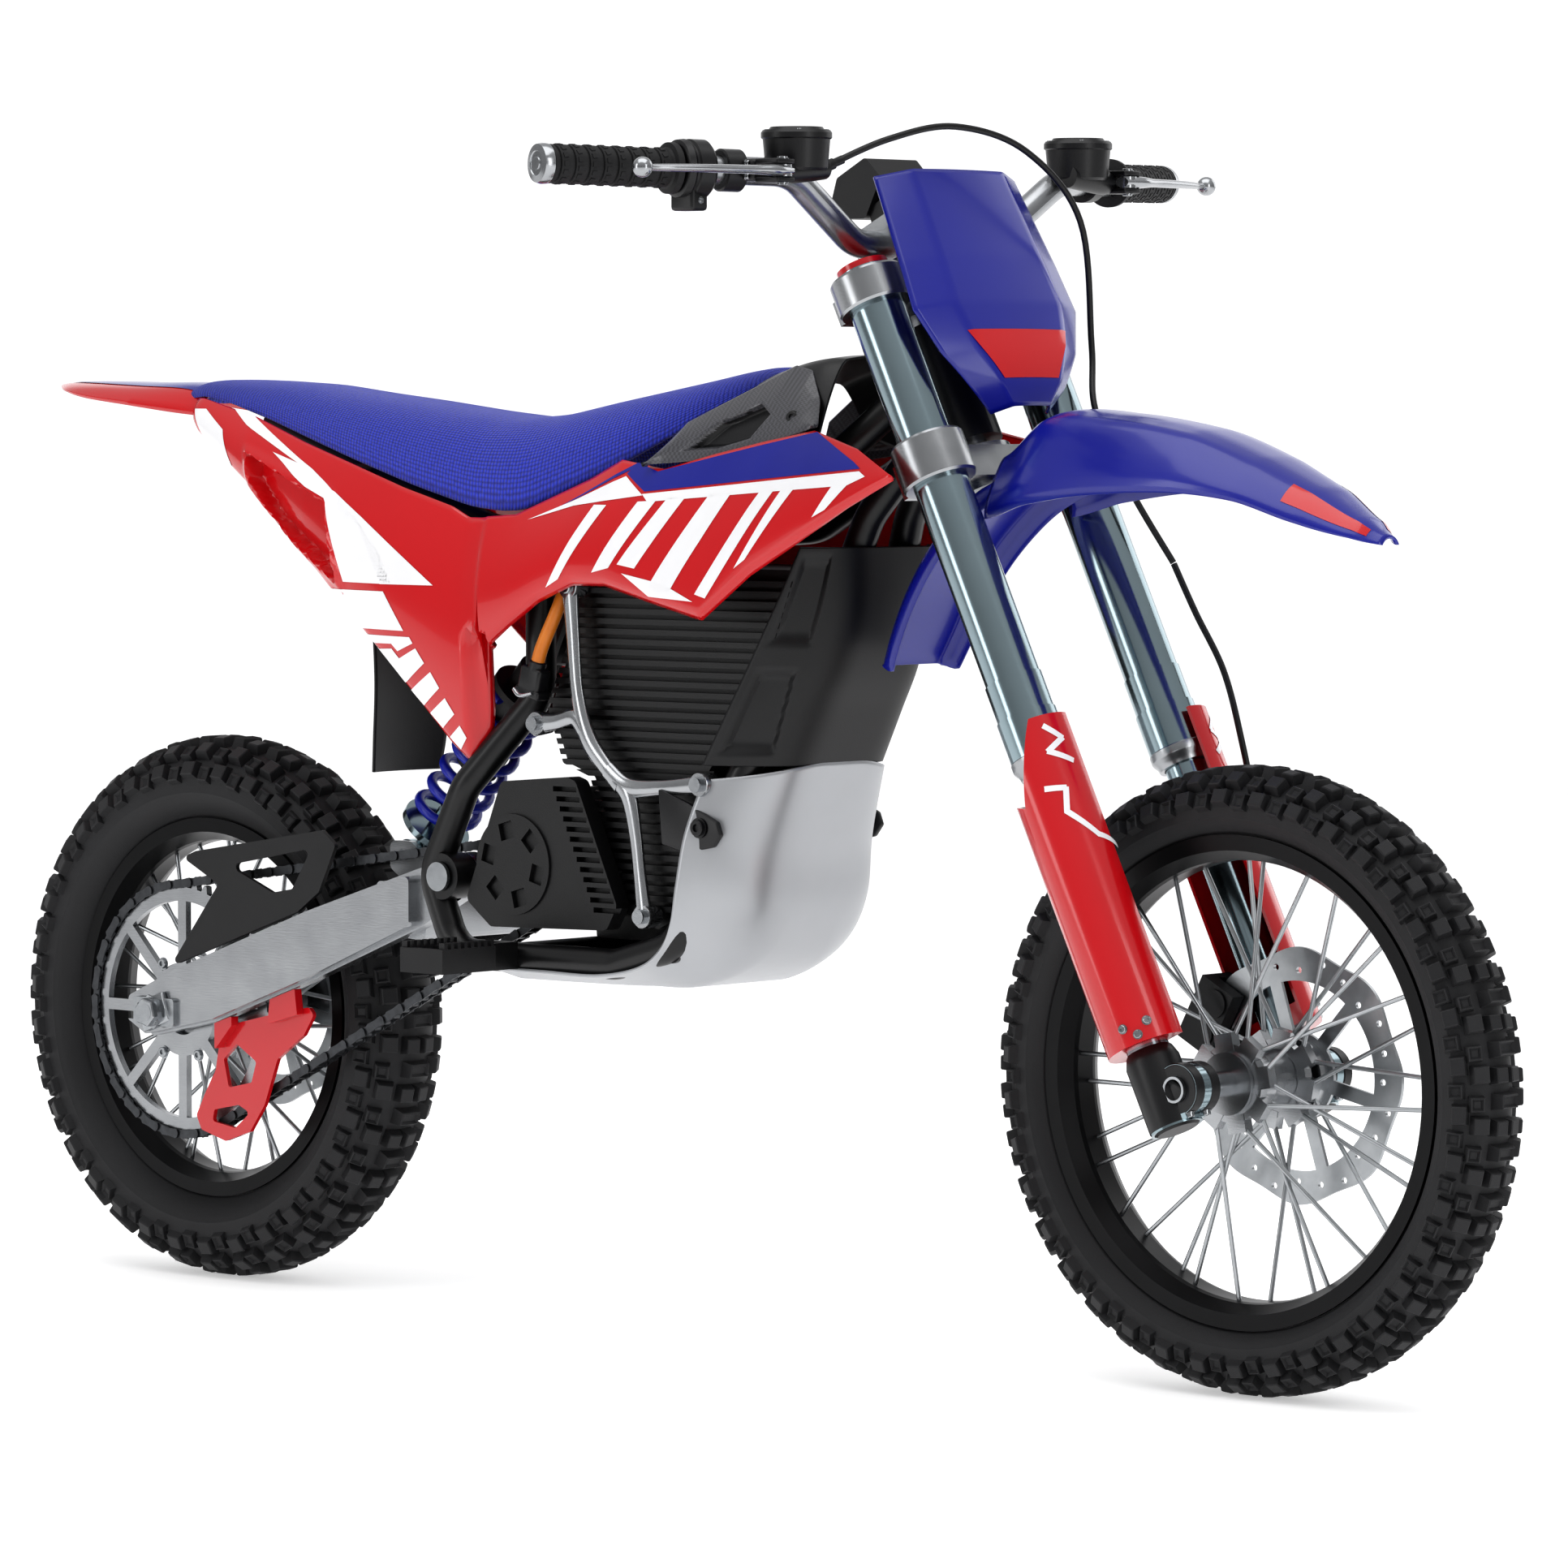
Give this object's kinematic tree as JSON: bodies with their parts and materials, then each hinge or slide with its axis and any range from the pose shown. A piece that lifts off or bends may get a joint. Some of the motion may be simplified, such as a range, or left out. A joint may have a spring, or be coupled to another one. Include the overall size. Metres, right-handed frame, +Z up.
{
  "type": "electric off-road motorcycle",
  "caption": "Youth electric off-road motorcycle with an upside-down fork, wire-spoked knobbly wheels, finned battery, chain drive, swingarm and moulded side covers.",
  "frame": {"origin": "on the ground, midway along and across the bike", "axes": "+X forward, +Y to the rider's left, +Z up"},
  "size_m": [1.5994, 0.756, 0.97],
  "materials": {
    "red_plastic": "gloss",
    "blue_plastic": "gloss",
    "black_plastic": "satin",
    "seat_cover": "woven vinyl",
    "carbon_trim": "woven carbon look",
    "black_frame": "satin",
    "battery_black": "fine textured",
    "alloy": "brushed",
    "skid_alloy": "satin",
    "fork_tube": "polished",
    "stanchion": "polished",
    "red_anodised": "anodised",
    "grip_rubber": "ribbed",
    "tyre_rubber": "matte",
    "rim_black": "anodised",
    "spoke_steel": "bright",
    "disc_steel": "ground",
    "chain_steel": "oiled",
    "bolt_steel": "bright",
    "spring_blue": "gloss",
    "hose_rubber": "satin",
    "lead_orange": "satin"
  },
  "bodies": {
    "chassis": {"head_frame": "black_frame", "cradle_frame": "black_frame", "seat_rails": "black_frame", "frame_bolts": "bolt_steel", "battery_case": "battery_black", "battery_braces": "alloy", "battery_lead": "lead_orange", "front_shroud": "black_plastic", "skid_plate": "skid_alloy", "motor": "battery_black", "side_panel_right": "red_plastic", "side_panel_left": "red_plastic", "trim_panels": "carbon_trim", "seat_cushion": "seat_cover", "inner_fender": "black_plastic", "rear_fender": "red_plastic"},
    "steering": {"steering_stem": "bolt_steel", "lower_clamp": "alloy", "upper_clamp": "black_frame", "fork_outer_tubes": "fork_tube", "fork_caps": "red_anodised", "handlebar": "alloy", "display_pod": "black_plastic", "number_plate": "blue_plastic", "front_fender": "blue_plastic", "left_grip": "grip_rubber", "throttle_housing": "black_plastic", "master_cylinders": "black_frame", "front_brake_hose": "hose_rubber"},
    "fork_lower": {"fork_inner_tubes": "stanchion", "front_axle": "bolt_steel", "fork_guards": "red_plastic", "front_caliper": "black_frame", "front_lower_hose": "hose_rubber"},
    "front_wheel": {"front_hub": "alloy", "front_rim": "rim_black", "front_spokes": "spoke_steel", "front_tyre": "tyre_rubber", "front_disc": "disc_steel"},
    "swing": {"swingarm": "alloy", "rear_axle": "bolt_steel", "chain_guard": "black_plastic", "chain_guide": "red_plastic", "rear_caliper": "black_frame", "chain": "chain_steel"},
    "rear_wheel": {"rear_hub": "alloy", "rear_rim": "rim_black", "rear_spokes": "spoke_steel", "rear_tyre": "tyre_rubber", "rear_disc": "disc_steel", "rear_sprocket": "alloy"},
    "output_shaft": {"drive_sprocket": "bolt_steel"},
    "shock_upper": {"shock_body": "black_frame", "shock_spring": "spring_blue"},
    "shock_lower": {"shock_shaft": "stanchion"},
    "throttle": {"throttle_grip": "grip_rubber"},
    "front_lever": {"front_brake_lever": "alloy"},
    "rear_lever": {"rear_brake_lever": "alloy"},
    "right_peg": {"right_footpeg": "black_frame"},
    "left_peg": {"left_footpeg": "black_frame"}
  },
  "joints": [
    {"name": "steering_turn", "type": "hinge", "parent": "chassis", "child": "steering", "pos_m": [0.25404, 0, 0.75845], "axis": [-0.4384, 0, 0.8988], "range_deg": [-36, 36]},
    {"name": "fork_travel", "type": "slide", "parent": "steering", "child": "fork_lower", "axis": [-0.4384, 0, 0.8988], "range_m": [0, 0.14], "stiffness_N_per_m": 5200, "springref_m": -0.02, "deforming": ["front_lower_hose"]},
    {"name": "front_wheel_spin", "type": "hinge", "parent": "fork_lower", "child": "front_wheel", "pos_m": [0.55975, 0, 0.24], "axis": [0, 1, 0], "continuous": true},
    {"name": "swingarm_pivot", "type": "hinge", "parent": "chassis", "child": "swing", "pos_m": [-0.208, 0, 0.366], "axis": [0, 1, 0], "range_deg": [0, 18], "stiffness_Nm_per_rad": 900, "springref_deg": -2.86, "deforming": ["chain"]},
    {"name": "rear_wheel_spin", "type": "hinge", "parent": "swing", "child": "rear_wheel", "pos_m": [-0.56625, 0, 0.2335], "axis": [0, 1, 0], "continuous": true},
    {"name": "output_shaft_spin", "type": "hinge", "parent": "chassis", "child": "output_shaft", "pos_m": [-0.096, 0, 0.38], "axis": [0, 1, 0], "continuous": true},
    {"name": "shock_pivot", "type": "hinge", "parent": "chassis", "child": "shock_upper", "pos_m": [-0.178, 0, 0.549], "axis": [0, 1, 0], "range_deg": [0, 6.2]},
    {"name": "shock_stroke", "type": "slide", "parent": "shock_upper", "child": "shock_lower", "axis": [0.6793, 0, 0.7338], "range_m": [0, 0.035], "deforming": ["shock_spring"]},
    {"name": "throttle_twist", "type": "hinge", "parent": "steering", "child": "throttle", "pos_m": [0.19575, -0.266, 0.93185], "axis": [-0.291, -0.9566, 0.0167], "range_deg": [0, 70], "stiffness_Nm_per_rad": 0.12, "springref_deg": -8.59},
    {"name": "front_brake_pull", "type": "hinge", "parent": "steering", "child": "front_lever", "pos_m": [0.262, -0.206, 0.93], "axis": [0, 0, -1], "range_deg": [0, 15], "stiffness_Nm_per_rad": 1.2, "springref_deg": -4.58},
    {"name": "rear_brake_pull", "type": "hinge", "parent": "steering", "child": "rear_lever", "pos_m": [0.262, 0.206, 0.93], "axis": [0, 0, 1], "range_deg": [0, 15], "stiffness_Nm_per_rad": 1.2, "springref_deg": -4.58},
    {"name": "right_footpeg_fold", "type": "hinge", "parent": "chassis", "child": "right_peg", "pos_m": [-0.135, -0.124, 0.306], "axis": [-1, 0, 0], "range_deg": [0, 60], "stiffness_Nm_per_rad": 0.6, "springref_deg": -34.38},
    {"name": "left_footpeg_fold", "type": "hinge", "parent": "chassis", "child": "left_peg", "pos_m": [-0.135, 0.124, 0.306], "axis": [1, 0, 0], "range_deg": [0, 60], "stiffness_Nm_per_rad": 0.6, "springref_deg": -34.38}
  ],
  "couplings": [
    {"joint": "output_shaft_spin", "follows": "rear_wheel_spin", "ratio": 4.4167},
    {"joint": "shock_pivot", "follows": "swingarm_pivot", "ratio": 0.33},
    {"joint": "shock_stroke", "follows": "swingarm_pivot", "m_per_rad": 0.1095}
  ]
}
